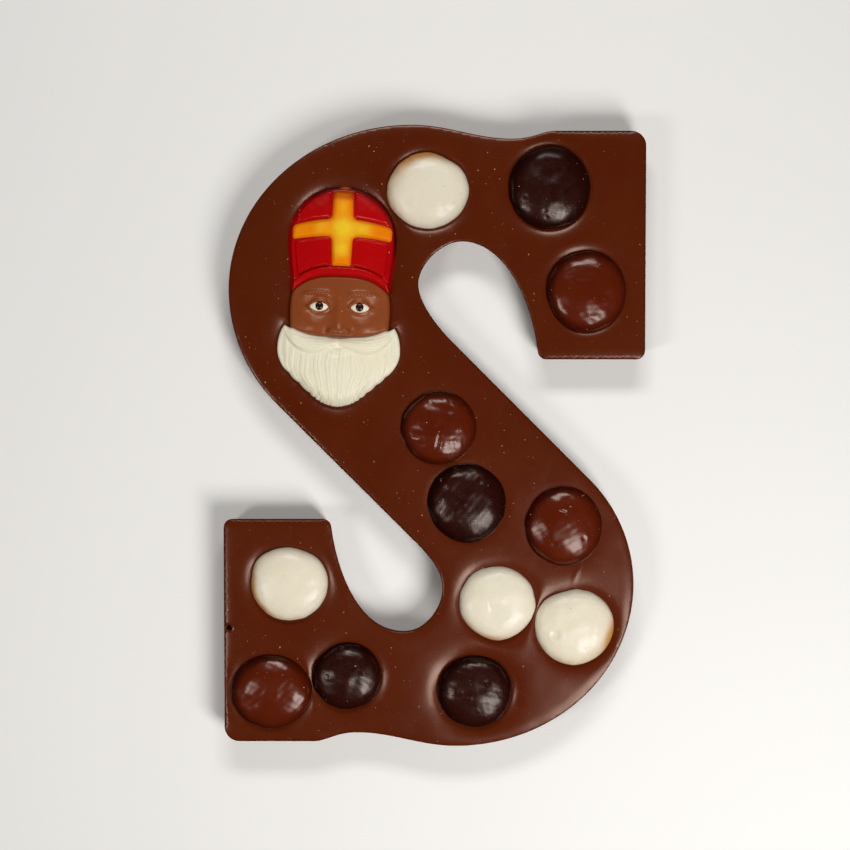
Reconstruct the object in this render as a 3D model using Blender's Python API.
"""A milk chocolate letter S, with coated spiced biscuits and a bishop's head set into it.

The letter lies on its back with its poured side up. +Z is up, +Y is the top of the letter,
and the origin is on the ground below its middle. One function draws a half of its outline,
and the other half is drawn with its own sizes and turned half round.
Sizes are in millimetres here and become metres in the meshes.
"""

import math
import random

import bmesh
import bpy
from mathutils import Matrix, Vector
from mathutils.geometry import delaunay_2d_cdt

MM = 0.001
FIT_GAP = 0.3

# The slab: its thickness, its drafted wall, its soft upper edge and its bevelled back.
SLAB = 10.0
DRAFT = 1.2
BACK_BEVEL = 0.7
RIM = 0.5
EDGE_DROP = 0.3
EDGE_WIDTH = 3.0

# The two halves of the outline. The first runs from the top of the letter down its left side;
# the second is given as it lies when it is turned half round onto the first.
HALVES = (
    {
        "bowl_top": Vector((-6.0, 84.1)),
        "bowl_side": Vector((-55.3, 40.0)),
        "diagonal_end": Vector((-4.8, -28.5)),
        "counter_side": Vector((2.3, -41.0)),
        "counter_round": Vector((-8.2, -52.8)),
        "counter_mouth": Vector((-27.5, -26.2)),
        "serif_inner": Vector((-28.1, -22.0)),
        "serif_foot": Vector((-57.0, -82.8)),
    },
    {
        "bowl_top": Vector((-6.0, 84.1)),
        "bowl_side": Vector((-54.2, 40.0)),
        "diagonal_end": Vector((-5.0, -25.9)),
        "counter_side": Vector((4.2, -41.3)),
        "counter_round": Vector((-7.6, -52.9)),
        "counter_mouth": Vector((-27.7, -25.5)),
        "serif_inner": Vector((-28.3, -21.2)),
        "serif_foot": Vector((-57.0, -82.5)),
    },
)
NOTCH_START = -32.5
NOTCH_TOP = Vector((-21.0, -80.4))
SERIF_CORNERS = (2.0, 2.3, 4.0)

# How far the curves between those places reach out along their end directions.
DIAGONAL_PULLS = ((3.5, -3.5), (0, 5))
COUNTER_PULLS = ((0, -5.6), (5.4, 0))
THROAT_PULLS = ((-9.5, 0), (2.6, -15.8))
NOTCH_PULLS = ((3.0, 0), (-5.5, 0))
CREST_PULLS = ((10, 0), (-10, 0))

# How far apart the slab's points lie along curves, along straight sides and across its top.
OUTLINE_STEP = 3.2
STRAIGHT_STEP = 8.0
TOP_SPACING = 8.0
SLAB_ROWS = (0.3, 1.6)

# Biscuits: name, middle, width and length seen from above.
BISCUITS = (
    ("white_1", -1.6, 66.6, 21.5, 20.5),
    ("white_2", -39.3, -39.7, 20.9, 20.3),
    ("white_3", 17.3, -45.0, 20.5, 20.3),
    ("white_4", 38.1, -51.3, 21.1, 21.0),
    ("dark_1", 31.1, 67.2, 22.4, 22.8),
    ("dark_2", 8.9, -17.6, 21.6, 21.9),
    ("dark_3", -23.6, -64.9, 19.2, 18.7),
    ("dark_4", 11.2, -69.1, 20.6, 20.2),
    ("milk_1", 41.0, 39.6, 22.1, 22.3),
    ("milk_2", 1.3, 2.8, 21.1, 20.3),
    ("milk_3", 35.1, -23.9, 21.3, 22.2),
    ("milk_4", -44.3, -69.1, 22.3, 20.5),
)
# Where a biscuit's rim is flattened or pushed out: direction in degrees and depth.
BISCUIT_FLATS = {
    "white_1": ((60, -0.45), (195, 0.4)),
    "white_2": ((75, -0.2), (142, 0.5), (215, -0.25)),
    "white_3": ((130, 0.45), (240, -0.4), (312, -0.2)),
    "white_4": ((105, -0.6), (147, 0.25), (30, 0.15)),
    "dark_3": ((130, -0.35),),
}
FLAT_WIDTH = 0.38
# How far a biscuit rises above its widest level, and how full its side is, by its coating.
# The widest level lies a little below the poured face, so only the dome shows.
CROWN = {"white": 5.0, "dark": 5.2, "milk": 5.2}
FULLNESS = {"white": 2.6, "dark": 2.25, "milk": 2.3}
BISCUIT_LEVEL = SLAB - 1.4
BISCUIT_DEPTH = 5.2
BISCUIT_WAVES = 3
BISCUIT_WOBBLE = 0.005
BISCUIT_DENTS = 4
BISCUIT_DENT = 0.3
DENT_WIDTH = 0.22
DENT_REACH = (0.15, 0.6)
BISCUIT_SEGMENTS = 20
BISCUIT_ROWS = 8

# The slab dips where it meets what is pressed into it.
BISCUIT_DIP = 0.8
BISCUIT_DIP_WIDTH = 2.4
HEAD_DIP = 1.0
HEAD_DIP_WIDTH = 4.2
BISCUIT_SWEEPS = (-0.6, 1.0, 2.8)
SWEEP_STEP = 4.8
HEAD_SWEEPS = (-0.6, 1.2, 3.4, 6.0)

# The bishop's head, in its own frame: middle at the origin and +Y to the tip of the mitre.
HEAD_MIDDLE = (-25.2, 38.0)
HEAD_TILT = -2.1
HEAD_FLOOR = 6.3
HEAD_STEP = 1.9
HEAD_FOOT = (0.35, 1.5)
HEAD_WALL = SLAB - 0.5

MITRE_TOP = 29.7
MITRE_WIDEST = 15.0
MITRE_HALF_WIDTH = 14.65
MITRE_PULLS = ((0.5, 4), (0, -5))
BRIM_HALF_WIDTH = 13.1
BRIM_CORNER = 0.8
BRIM_ARCH = 5.2
BRIM_BAND = 2.7
BRIM_REACH = 11.5
BRIM_STEP = (-0.15, 0.35)
MITRE_HEIGHT = 9.3
MITRE_DOME = 2.0
CROWN_FALL = 22.0
MITRE_ROWS = (0.35, 1.35, 1.9)
MITRE_SPACING = 4.0
BORDER_WIDTH = 1.5
BORDER_RISE = 0.35
BRIM_RISE = 0.8

CROSS_LEVEL = 18.5
CROSS_SAG = 1.65
CROSS_BAR = (2.35, 1.9)
CROSS_REACH = 13.5
CROSS_POST = (2.65, 2.55)
CROSS_ENDS = (28.3, 8.1)
CROSS_INNER = 2.9
CROSS_FLOOR = 8.6
CROSS_RISE = 1.0
CROSS_EDGE = 0.35
CROSS_CUSHION = 1.2
CROSS_ROWS = (0.1, 0.6, 1.2)
CROSS_SPACING = 3.0

FACE_HALF_WIDTH = 13.5
FACE_INSETS = (0.4, 0.3)
FACE_PULLS = ((0.5, 1.5), (0.9, -2))
FACE_HEIGHT = 10.4
FACE_DOME = 1.9
FACE_ROWS = (0.35, 1.0)
FACE_SPACING = 1.8

# The face keeps plain drawing-book proportions: five eye widths across, and three equal
# parts from the hair to the brows, to the base of the nose and to the chin.
EYE_WIDTH = 2 * FACE_HALF_WIDTH / 5
EYE_HEIGHT = 2.9
EYE_DEPTH = 2.0
EYE_SINK = 0.1
EYE_LINE = -2.8
PUPIL = 1.9
PUPIL_FLATNESS = 0.45
PUPIL_SINK = 0.12
BROW_LINE = -0.3
NOSE_BASE = -10.3
NOSE_TIP = NOSE_BASE + 1.4
NOSE_RISE = (0.4, 1.7)
NOSE_HALF_WIDTH = (1.1, 1.8)
NOSE_ROUNDING = 0.9
MOUTH_LINE = NOSE_BASE - (BROW_LINE - NOSE_BASE) / 3
# Soft hills and hollows on both sides: x, y, half width, half height and rise.
FACE_FORMS = {
    "forehead": (0.0, BRIM_ARCH - 1.0, 14.0, 2.2, -0.4),
    "brow": (EYE_WIDTH, BROW_LINE, 3.2, 0.9, 0.55),
    "eye hollow": (EYE_WIDTH, EYE_LINE, 2.9, 1.6, -0.55),
    "cheek": (EYE_WIDTH * 1.25, -7.6, 3.2, 2.2, 0.5),
    "nostril": (2.0, NOSE_BASE + 1.2, 0.9, 0.9, 0.7),
}

BEARD_MIDDLE = -10.9
BEARD_TIP = Vector((14.8, -8.0))
BEARD_WIDEST = Vector((16.6, -14.5))
BEARD_FLANK = Vector((9.65, -24.4))
BEARD_END = Vector((0.0, -29.7))
BEARD_TIP_WIDTH = 0.8
END_PULLS = ((4.5, 0.4), (-3.4, -3))
FLANK_PULLS = ((3.6, 3.2), (0, -4.2))
TIP_PULLS = ((0, 2.6), (1.1, -1.2))
BEARD_HEIGHT = 10.1
BEARD_DOME = 2.2
BEARD_ROUNDING = 3.0
BEARD_ROWS = (0.35, 1.3)
BEARD_SPACING = 2.2
STRAND_RISE = 0.35
STRANDS = 9
STRAND_ROOT = 6.0
STRAND_FADE = 14.0
# The moustache droops from under the nose, and the lower lip shows between its halves.
MOUSTACHE_LINE = BEARD_MIDDLE - 1.6
MOUSTACHE_DROOP = 0.024
BEARD_FORMS = {
    "moustache": (4.4, 0.0, 3.9, 1.2, 0.9),
    "lip": (0.0, MOUTH_LINE - 0.7 - MOUSTACHE_LINE, 2.3, 0.6, 0.5),
}
LIP_REACH = 2.4
LIP_STEP = 0.8
LIP_ROWS = (0.0, -0.7, -1.4)


def millimetres(*values):
    return Vector([value * MM for value in values])


def linear(red, green, blue):
    """A screen colour of 0 to 255 as the linear colour of a material."""
    shares = [value / 255 for value in (red, green, blue)]
    return [s / 12.92 if s <= 0.04045 else ((s + 0.055) / 1.055) ** 2.4 for s in shares] + [1]


def material(name, colour, roughness):
    made = bpy.data.materials.new(name)
    made.use_nodes = True
    shader = made.node_tree.nodes["Principled BSDF"]
    shader.inputs["Base Color"].default_value = linear(*colour)
    shader.inputs["Roughness"].default_value = roughness
    shader.inputs["Metallic"].default_value = 0.0
    made.diffuse_color = linear(*colour)
    return made


# Plane curves

def arc(centre, radius_x, radius_y, start, end, step):
    """Points along part of an ellipse, from one angle to the other in degrees."""
    turn = math.radians(end - start)
    count = max(3, round(abs(turn) * max(radius_x, radius_y) / step))
    points = []
    for index in range(count + 1):
        angle = math.radians(start) + turn * index / count
        offset = Vector((radius_x * math.cos(angle), radius_y * math.sin(angle)))
        points.append(Vector(centre) + offset)
    return points


def curve(start, pulls, end, step):
    """Points along a cubic curve; each pull is an offset from its own end."""
    handles = (start, start + Vector(pulls[0]), end + Vector(pulls[1]), end)
    count = max(3, round((end - start).length * 1.1 / step))
    points = []
    for index in range(count + 1):
        t = index / count
        weights = ((1 - t) ** 3, 3 * t * (1 - t) ** 2, 3 * t * t * (1 - t), t ** 3)
        points.append(sum((h * w for h, w in zip(handles, weights)), Vector((0, 0))))
    return points


def bend(before, corner, after, radius, step):
    """Points of the round that replaces a corner."""
    back = (before - corner).normalized() * radius
    on = (after - corner).normalized() * radius
    return curve(corner + back, (back * -0.55, on * -0.55), corner + on, step)


def closed(points, longest):
    """The loop through the points, without doubles, and with long straight sides divided."""
    loop = []
    for here, after in zip(points, points[1:] + points[:1]):
        length = (after - here).length
        if length < 0.05:
            continue
        pieces = max(1, math.ceil(length / longest))
        loop += [here.lerp(after, piece / pieces) for piece in range(pieces)]
    return loop


def shrunk(loop, inset):
    """The loop moved towards its inside, point for point; a negative inset grows it."""
    moved = []
    for before, here, after in zip(loop[-1:] + loop[:-1], loop, loop[1:] + loop[:1]):
        came = (here - before).normalized()
        goes = (after - here).normalized()
        inward = Vector((-came.y - goes.y, came.x + goes.x)).normalized()
        spread = max(0.5, inward.dot(Vector((-goes.y, goes.x))))
        moved.append(here + inward * (inset / spread))
    return moved


def gap_to(point, loop):
    """Distance from a point to the loop, negative outside it."""
    nearest = math.inf
    inside = False
    for a, b in zip(loop, loop[1:] + loop[:1]):
        side = b - a
        along = max(0.0, min(1.0, (point - a).dot(side) / side.length_squared))
        nearest = min(nearest, (a + side * along - point).length)
        if (a.y > point.y) != (b.y > point.y):
            if point.x < a.x + side.x * (point.y - a.y) / side.y:
                inside = not inside
    return nearest if inside else -nearest


def half_outline(sizes):
    """One half of the S: round the bowl, down the diagonal, round the counter and the serif."""
    step = OUTLINE_STEP
    top = sizes["bowl_top"]
    side = sizes["bowl_side"]
    end = sizes["diagonal_end"]
    # The shoulder is the arc that leaves the bowl's side upright and meets the diagonal.
    shoulder = (side.x + side.y - end.x - end.y) / (math.sqrt(2) - 1)
    half = arc((top.x, side.y), top.x - side.x, top.y - side.y, 90, 180, step)
    half += arc((side.x + shoulder, side.y), shoulder, shoulder, 180, 225, step)
    half += curve(end, DIAGONAL_PULLS, sizes["counter_side"], step)
    half += curve(sizes["counter_side"], COUNTER_PULLS, sizes["counter_round"], step)
    half += curve(sizes["counter_round"], THROAT_PULLS, sizes["counter_mouth"], step)
    inner = sizes["serif_inner"]
    foot = sizes["serif_foot"]
    outer = Vector((foot.x, inner.y))
    notch = Vector((NOTCH_START, foot.y))
    half += bend(sizes["counter_mouth"], inner, outer, SERIF_CORNERS[0], step)
    half += bend(inner, outer, foot, SERIF_CORNERS[1], step)
    half += bend(outer, foot, notch, SERIF_CORNERS[2], step)
    half += curve(notch, NOTCH_PULLS, NOTCH_TOP, step)
    return half + curve(NOTCH_TOP, CREST_PULLS, -top, step)


def letter_outline():
    first, second = [half_outline(sizes) for sizes in HALVES]
    return closed(first + [-point for point in second], STRAIGHT_STEP)


# Solids

def settled(loop, rows, spacing, sweeps):
    """Points inside the loop: rows along its edge, the sweeps, and a staggered grid between."""
    kept = []
    for inset in rows:
        kept += [point for point in shrunk(loop, inset) if gap_to(point, loop) > 0.95 * inset]
    rim = rows[-1] if rows else 0.0
    for sweep in sweeps:
        kept += [point for point in sweep if gap_to(point, loop) > rim + 0.2 * spacing]
    swept = list(kept)
    left = min(point.x for point in loop)
    right = max(point.x for point in loop)
    low = min(point.y for point in loop)
    high = max(point.y for point in loop)
    row_height = spacing * math.sqrt(0.75)
    for row in range(1, math.ceil((high - low) / row_height)):
        x = left + spacing * (0.5 if row % 2 else 1.0)
        while x < right:
            point = Vector((x, low + row * row_height))
            clear = all((point - other).length > 0.55 * spacing for other in swept)
            if clear and gap_to(point, loop) > rim + 0.4 * spacing:
                kept.append(point)
            x += spacing
    return kept


def cover(mesh, ring, points, heights, upwards):
    """Triangles that fill a ring of vertices, by way of the points inside it."""
    inner = [mesh.verts.new(millimetres(p.x, p.y, z)) for p, z in zip(points, heights)]
    vertices = list(ring) + inner
    flat = [vertex.co.xy / MM for vertex in vertices]
    edges = [(index, (index + 1) % len(ring)) for index in range(len(ring))]
    found = delaunay_2d_cdt(flat, edges, [], 1, 1e-6)
    sources = found[3]
    for face in found[2]:
        corners = [vertices[sources[index][0]] for index in face]
        mesh.faces.new(corners if upwards else reversed(corners))


def moulded(name, loop, sides, rows, top, spacing, sweeps=()):
    """A closed solid with a flat floor: rings of (inset, height) up its side, then its top.

    The first of the rows is the last ring; the others are points along the edge of the top.
    """
    mesh = bmesh.new()
    rings = []
    for inset, height in sides:
        ring = shrunk(loop, inset)
        rings.append([mesh.verts.new(millimetres(p.x, p.y, height)) for p in ring])
    lip = shrunk(loop, rows[0])
    rings.append([mesh.verts.new(millimetres(p.x, p.y, top(p))) for p in lip])
    for lower, upper in zip(rings, rings[1:]):
        for index in range(len(loop)):
            after = (index + 1) % len(loop)
            mesh.faces.new((lower[index], lower[after], upper[after], upper[index]))
    cover(mesh, rings[0], [], [], upwards=False)
    points = settled(lip, [row - rows[0] for row in rows[1:]], spacing, sweeps)
    cover(mesh, rings[-1], points, [top(point) for point in points], upwards=True)
    return as_object(name, mesh)


def as_object(name, mesh):
    data = bpy.data.meshes.new(name)
    mesh.normal_update()
    mesh.to_mesh(data)
    mesh.free()
    data.shade_smooth()
    data.set_sharp_from_angle(angle=math.radians(40))
    made = bpy.data.objects.new(name, data)
    bpy.context.scene.collection.objects.link(made)
    return made


def as_cutter(made):
    made.hide_render = True
    made.display_type = "WIRE"
    return made


def prism(name, loop, low, high):
    """A straight cutter with the loop as its outline and no points inside its ends."""
    whole = max(point.length for point in loop) * 2
    return as_cutter(moulded(name, loop, ((0, low),), (0,), lambda point: high, whole))


def cut(target, operation, operand):
    """An exact Boolean with one object, or with every object of a collection."""
    change = target.modifiers.new(operation.lower(), "BOOLEAN")
    change.operation = operation
    change.solver = "EXACT"
    if isinstance(operand, bpy.types.Collection):
        change.operand_type = "COLLECTION"
        change.collection = operand
    else:
        change.object = operand


def into(collection, cutter):
    """Keep a cutter in the collection that one Boolean subtracts."""
    bpy.context.scene.collection.objects.unlink(cutter)
    collection.objects.link(cutter)


# Biscuits

def rim_shift(name, angle):
    """How far a biscuit's rim is pushed in or out in one direction."""
    shift = 0.0
    for direction, depth in BISCUIT_FLATS.get(name, ()):
        turn = math.remainder(angle - math.radians(direction), math.tau)
        shift += depth * math.exp(-(turn / FLAT_WIDTH) ** 2)
    return shift


def biscuit(name, x, y, width, length, grow=0.0):
    """A coated biscuit: a flattened ball, a little out of round, with shallow dents on top."""
    kind = name.split("_")[0]
    chance = random.Random(name)
    phases = [chance.uniform(0, math.tau) for _ in range(BISCUIT_WAVES)]
    dents = []
    for _ in range(BISCUIT_DENTS):
        angle = chance.uniform(0, math.tau)
        reach = chance.uniform(*DENT_REACH)
        dents.append((Vector((math.cos(angle), math.sin(angle))) * reach, chance.uniform(0.3, 1)))
    power = 2 / FULLNESS[kind]
    mesh = bmesh.new()
    bmesh.ops.create_uvsphere(mesh, u_segments=BISCUIT_SEGMENTS, v_segments=BISCUIT_ROWS, radius=1)
    for vertex in mesh.verts:
        flat = vertex.co.xy
        angle = math.atan2(flat.y, flat.x)
        waves = (math.cos((order + 2) * angle + phase) for order, phase in enumerate(phases))
        out = flat.length ** power * (1 + BISCUIT_WOBBLE * sum(waves))
        up = math.copysign(abs(vertex.co.z) ** power, vertex.co.z)
        height = up * ((CROWN[kind] if up > 0 else BISCUIT_DEPTH) + grow)
        if up > 0:
            place = flat.normalized() * out if flat.length else flat
            for middle, strength in dents:
                spread = (place - middle).length / DENT_WIDTH
                height -= BISCUIT_DENT * strength * up * math.exp(-spread * spread)
        rim = grow + rim_shift(name, angle)
        across = math.cos(angle) * out * (width / 2 + rim)
        along = math.sin(angle) * out * (length / 2 + rim)
        vertex.co = millimetres(across, along, height)
    made = as_object("biscuit_" + name + ("_pocket" if grow else ""), mesh)
    made.location = millimetres(x, y, BISCUIT_LEVEL)
    return made


# The bishop's head

def brim_edge(across, lift=0.0):
    """A point of the arched lower edge of the mitre, or of a line parallel to it."""
    share = abs(across) / BRIM_HALF_WIDTH
    return Vector((across, BRIM_ARCH - (BRIM_ARCH - BRIM_CORNER) * share ** 3 + lift))


def beard_edge(across, lift=0.0):
    """A point of the beard's upper edge, which runs below the nose and up past the cheeks."""
    share = abs(across) / BEARD_TIP.x
    return Vector((across, BEARD_MIDDLE + (BEARD_TIP.y - BEARD_MIDDLE) * share ** 3 + lift))


def spaced(low, high, step):
    count = max(1, round(abs(high - low) / step))
    return [low + (high - low) * index / count for index in range(count + 1)]


def mirrored(right_side):
    """The same points on the other side, in the order that continues round the loop."""
    return [Vector((-point.x, point.y)) for point in reversed(right_side)]


def mitre_side():
    """The right side of the mitre from its corner up to its tip."""
    widest = Vector((MITRE_HALF_WIDTH, MITRE_WIDEST))
    side = curve(brim_edge(BRIM_HALF_WIDTH), MITRE_PULLS, widest, HEAD_STEP)
    tall = MITRE_TOP - MITRE_WIDEST
    return side + arc((0, MITRE_WIDEST), MITRE_HALF_WIDTH, tall, 0, 90, HEAD_STEP)


def face_side():
    low = beard_edge(FACE_HALF_WIDTH - FACE_INSETS[0], FIT_GAP)
    top = brim_edge(BRIM_HALF_WIDTH - FACE_INSETS[1], -FIT_GAP)
    return curve(low, FACE_PULLS, top, HEAD_STEP)


def beard_side():
    """The right side of the beard from its end up to its tip beside the cheek."""
    side = curve(BEARD_END, END_PULLS, BEARD_FLANK, HEAD_STEP)
    side += curve(BEARD_FLANK, FLANK_PULLS, BEARD_WIDEST, HEAD_STEP)
    return side + curve(BEARD_WIDEST, TIP_PULLS, BEARD_TIP, HEAD_STEP)


def mitre_outline():
    side = mitre_side()
    brim = [brim_edge(x) for x in spaced(-BRIM_HALF_WIDTH, BRIM_HALF_WIDTH, HEAD_STEP)]
    return closed(side + mirrored(side) + brim, HEAD_STEP * 2)


def face_outline():
    side = face_side()
    low = side[0].x
    top = side[-1].x
    brow = [brim_edge(x, -FIT_GAP) for x in spaced(top, -top, HEAD_STEP)]
    under = [beard_edge(x, FIT_GAP) for x in spaced(-low, low, HEAD_STEP)]
    return closed(side + brow + mirrored(side) + under, HEAD_STEP * 2)


def beard_outline():
    side = beard_side()
    inner = BEARD_TIP.x - BEARD_TIP_WIDTH
    above = [beard_edge(x) for x in spaced(inner, -inner, HEAD_STEP)]
    return closed(side + above + mirrored(side), HEAD_STEP * 2)


def head_outline():
    """The outline of the whole head in the letter's frame."""
    right = beard_side() + face_side() + mitre_side()
    loop = closed(right + mirrored(right), HEAD_STEP * 2)
    tilt = Matrix.Rotation(math.radians(HEAD_TILT), 2)
    return [tilt @ point + Vector(HEAD_MIDDLE) for point in loop]


def cross_outline():
    """The arched cross: four arms that are widest where they meet."""
    top, bottom = CROSS_ENDS
    top_half, bottom_half = CROSS_POST
    middle_half, end_half = CROSS_BAR

    def bar(across, side):
        share = (across / CROSS_REACH) ** 2
        half = middle_half + (end_half - middle_half) * share
        return Vector((across, CROSS_LEVEL - CROSS_SAG * share + side * half))

    right = [Vector((bottom_half, bottom))]
    right += [bar(x, -1) for x in spaced(CROSS_INNER, CROSS_REACH, HEAD_STEP * 2)]
    right += [bar(x, 1) for x in spaced(CROSS_REACH, CROSS_INNER, HEAD_STEP * 2)]
    right += [Vector((top_half, top))]
    return closed(right + mirrored(right), HEAD_STEP * 2)


def hills(point, forms):
    """The summed rise of a table of soft hills that are the same on both sides."""
    rise = 0.0
    for x, y, wide, tall, height in forms.values():
        across = (abs(point.x) - x) / wide
        rise += height * math.exp(-across ** 2 - ((point.y - y) / tall) ** 2)
    return rise


def bulge(point):
    """The crossways curve of the whole head, 1 on its middle line and 0 at its sides."""
    return 1 - (point.x / BEARD_WIDEST.x) ** 2


def rounded(share):
    """A quarter of a round, from 0 at an edge to 1 where the share is whole."""
    return math.sin(min(1.0, share) * math.pi / 2)


def mitre_dome(point):
    """The height of the mitre's ground, which falls away to its sides and to its tip."""
    fall = max(0.0, point.y - MITRE_WIDEST) / CROWN_FALL
    return MITRE_HEIGHT + MITRE_DOME * (bulge(point) - fall * fall)


def mitre_surface(loop):
    def height(point):
        rise = mitre_dome(point)
        if point.y < brim_edge(point.x, BRIM_BAND).y:
            return rise + BRIM_RISE
        return rise + (BORDER_RISE if gap_to(point, loop) < BORDER_WIDTH else 0)
    return height


def cross_surface(loop):
    def height(point):
        cushion = rounded(gap_to(point, loop) / CROSS_CUSHION)
        return mitre_dome(point) + CROSS_RISE * (CROSS_EDGE + (1 - CROSS_EDGE) * cushion)
    return height


def nose_rise(point):
    """The ridge of the nose, which widens and rises from the brows down to its round tip."""
    down = max(0.0, min(1.0, (BROW_LINE - point.y) / (BROW_LINE - NOSE_TIP)))
    below = max(0.0, NOSE_TIP - point.y)
    rise = NOSE_RISE[0] + (NOSE_RISE[1] - NOSE_RISE[0]) * down
    half_width = NOSE_HALF_WIDTH[0] + (NOSE_HALF_WIDTH[1] - NOSE_HALF_WIDTH[0]) * down
    return rise * math.exp(-(below / NOSE_ROUNDING) ** 2 - (point.x / half_width) ** 2)


def face_surface(point):
    """A calm, plain face: brows, eye hollows, a straight nose and round cheeks."""
    return FACE_HEIGHT + FACE_DOME * bulge(point) + hills(point, FACE_FORMS) + nose_rise(point)


def beard_surface(loop):
    """Locks that fan out from under the nose, with the moustache and a lip over them."""
    root = Vector((0, BEARD_MIDDLE + STRAND_ROOT))

    def height(point):
        rise = BEARD_HEIGHT + BEARD_DOME * bulge(point) * rounded(gap_to(point, loop) / BEARD_ROUNDING)
        away = point - root
        fan = math.atan2(away.x, -away.y)
        rise += STRAND_RISE * math.cos(fan * STRANDS) * min(1, away.length / STRAND_FADE)
        droop = MOUSTACHE_LINE - MOUSTACHE_DROOP * point.x ** 2
        return rise + hills(Vector((point.x, point.y - droop)), BEARD_FORMS)
    return height


def eye_level(x):
    return face_surface(Vector((x, EYE_LINE))) - EYE_SINK


def eye(name, x, grow=0.0):
    """An almond of white chocolate; the cutter for its socket is the same shape grown."""
    mesh = bmesh.new()
    bmesh.ops.create_uvsphere(mesh, u_segments=14, v_segments=6, radius=1)
    sizes = [size / 2 + grow for size in (EYE_WIDTH, EYE_HEIGHT, EYE_DEPTH)]
    for vertex in mesh.verts:
        across, up, out = vertex.co
        narrowing = (1 - across * across) ** 0.25 if abs(across) < 1 else 0
        vertex.co = millimetres(across * sizes[0], up * narrowing * sizes[1], out * sizes[2])
    made = as_object(name, mesh)
    made.location = millimetres(x, EYE_LINE, eye_level(x))
    return made


def pupil(name, x):
    mesh = bmesh.new()
    bmesh.ops.create_uvsphere(mesh, u_segments=10, v_segments=4, radius=1)
    for vertex in mesh.verts:
        vertex.co = millimetres(*(vertex.co * PUPIL / 2))
        vertex.co.z *= PUPIL_FLATNESS
    made = as_cutter(as_object(name, mesh))
    made.location = millimetres(x, EYE_LINE, eye_level(x) + EYE_DEPTH / 2 - PUPIL_SINK)
    return made


def mitre_and_cross(sides):
    """The mitre with a channel for its cross, the cross, and the channel's cutter."""
    loop = mitre_outline()
    brim_rows = [[brim_edge(x, BRIM_BAND + lift) for x in spaced(-BRIM_REACH, BRIM_REACH, HEAD_STEP)]
                 for lift in BRIM_STEP]
    mitre = moulded("bishop_mitre", loop, sides, MITRE_ROWS, mitre_surface(loop), MITRE_SPACING,
                    brim_rows)
    cross_loop = cross_outline()
    cross_sides = ((0, CROSS_FLOOR), (0, MITRE_HEIGHT))
    cross = moulded("bishop_cross", cross_loop, cross_sides, CROSS_ROWS, cross_surface(cross_loop),
                    CROSS_SPACING)
    channel = prism("cross_channel", shrunk(cross_loop, -FIT_GAP), CROSS_FLOOR - FIT_GAP, SLAB * 2)
    cut(mitre, "DIFFERENCE", channel)
    return mitre, cross, channel


def head(coats, pockets):
    """The head: mitre, cross, face, eyes and beard, all children of one tilted empty."""
    holder = bpy.data.objects.new("bishop", None)
    bpy.context.scene.collection.objects.link(holder)
    holder.location = millimetres(*HEAD_MIDDLE, 0)
    holder.rotation_euler.z = math.radians(HEAD_TILT)

    sides = ((HEAD_FOOT[0], HEAD_FLOOR), (0, HEAD_FLOOR + HEAD_FOOT[1]), (0, HEAD_WALL))
    mitre, cross, channel = mitre_and_cross(sides)
    face_loop = face_outline()
    face = moulded("bishop_face", face_loop, sides, FACE_ROWS, face_surface, FACE_SPACING)
    beard_loop = beard_outline()
    lip_rows = [[Vector((x, MOUTH_LINE + drop)) for x in spaced(-LIP_REACH, LIP_REACH, LIP_STEP)]
                for drop in LIP_ROWS]
    beard = moulded("bishop_beard", beard_loop, sides, BEARD_ROWS, beard_surface(beard_loop),
                    BEARD_SPACING, lip_rows)
    made = [mitre, cross, face, beard, channel]
    coats_of = [(mitre, "red"), (cross, "yellow"), (face, "face"), (beard, "white")]
    for side, x in (("left", -EYE_WIDTH), ("right", EYE_WIDTH)):
        white = eye("bishop_eye_" + side, x)
        dot = pupil("pupil_" + side, x)
        socket = as_cutter(eye("eye_socket_" + side, x, FIT_GAP))
        cut(white, "UNION", dot)
        cut(face, "DIFFERENCE", socket)
        made += [white, dot, socket]
        coats_of.append((white, "white"))
    for piece, coat in coats_of:
        piece.data.materials.append(coats[coat])

    for name, outline in (("mitre", mitre_outline()), ("face", face_loop), ("beard", beard_loop)):
        pocket = prism(name + "_pocket", shrunk(outline, -FIT_GAP), HEAD_FLOOR - FIT_GAP, SLAB * 2)
        into(pockets, pocket)
        made.append(pocket)
    for piece in made:
        piece.parent = holder


# The slab

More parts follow.
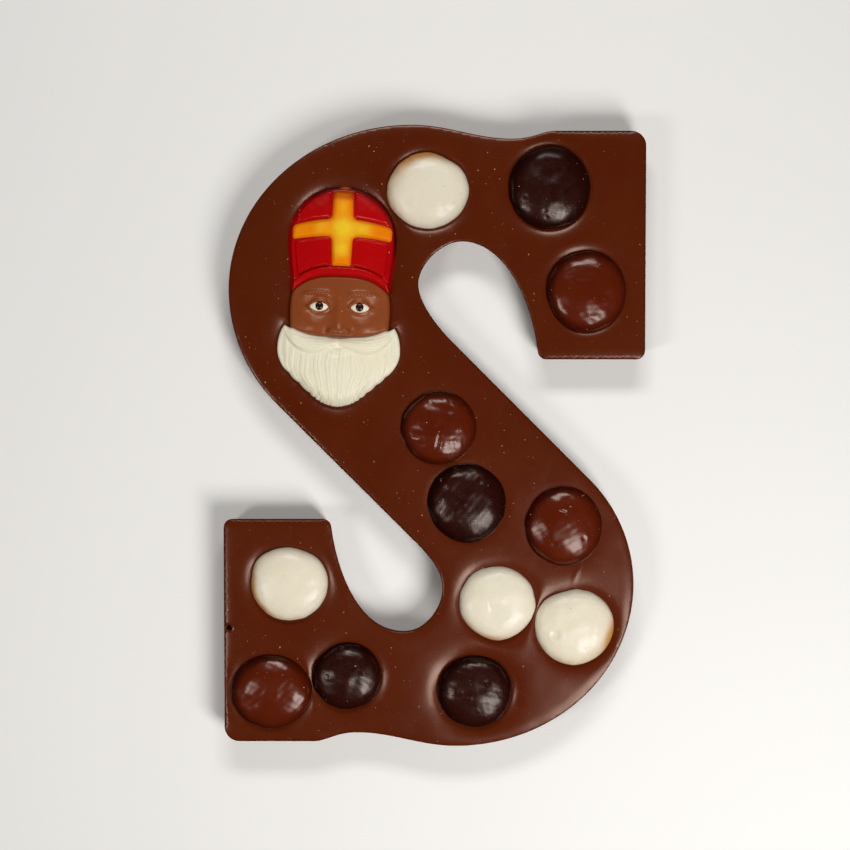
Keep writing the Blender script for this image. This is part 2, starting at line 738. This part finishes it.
def poured_surface(outline, silhouette):
    """The slab's upper face: soft at its edge, and sunk beside all that is pressed in."""
    def height(point):
        edge = max(0.0, 1 - gap_to(point, outline) / EDGE_WIDTH)
        dip = 0.0
        for _, x, y, width, length in BISCUITS:
            away = Vector(((point.x - x) * 2 / width, (point.y - y) * 2 / length)).length
            gap = max(0.0, (away - 1) * width / 2)
            dip = max(dip, BISCUIT_DIP * math.exp(-(gap / BISCUIT_DIP_WIDTH) ** 2))
        gap = max(0.0, -gap_to(point, silhouette))
        dip = max(dip, HEAD_DIP * math.exp(-(gap / HEAD_DIP_WIDTH) ** 2))
        return SLAB - EDGE_DROP * edge * edge - dip
    return height


def slab(pockets):
    outline = letter_outline()
    silhouette = head_outline()
    sweeps = []
    for _, x, y, width, length in BISCUITS:
        for away in BISCUIT_SWEEPS:
            ring = arc((x, y), width / 2 + away, length / 2 + away, 0, 360, SWEEP_STEP)
            sweeps.append(ring[:-1])
    for away in HEAD_SWEEPS:
        sweeps.append(shrunk(silhouette, -away)[::2])
    sides = ((DRAFT + BACK_BEVEL, 0), (DRAFT, BACK_BEVEL), (0, SLAB - EDGE_DROP - RIM))
    made = moulded("letter", outline, sides, SLAB_ROWS, poured_surface(outline, silhouette),
                   TOP_SPACING, sweeps)
    cut(made, "DIFFERENCE", pockets)
    return made


def build():
    for old in list(bpy.data.objects):
        bpy.data.objects.remove(old, do_unlink=True)
    coats = {
        "milk": material("milk_chocolate", (86, 38, 17), 0.34),
        "white": material("white_chocolate", (229, 219, 196), 0.42),
        "dark": material("dark_chocolate", (44, 16, 9), 0.36),
        "coat": material("milk_coating", (84, 26, 8), 0.22),
        "red": material("red_chocolate", (168, 10, 12), 0.35),
        "yellow": material("yellow_chocolate", (238, 150, 22), 0.38),
        "face": material("face_chocolate", (136, 68, 32), 0.38),
    }
    pockets = bpy.data.collections.new("pockets")
    bpy.context.scene.collection.children.link(pockets)
    for spec in BISCUITS:
        kind = spec[0].split("_")[0]
        biscuit(*spec).data.materials.append(coats["coat" if kind == "milk" else kind])
        into(pockets, as_cutter(biscuit(*spec, grow=FIT_GAP)))
    head(coats, pockets)
    slab(pockets).data.materials.append(coats["milk"])


build()
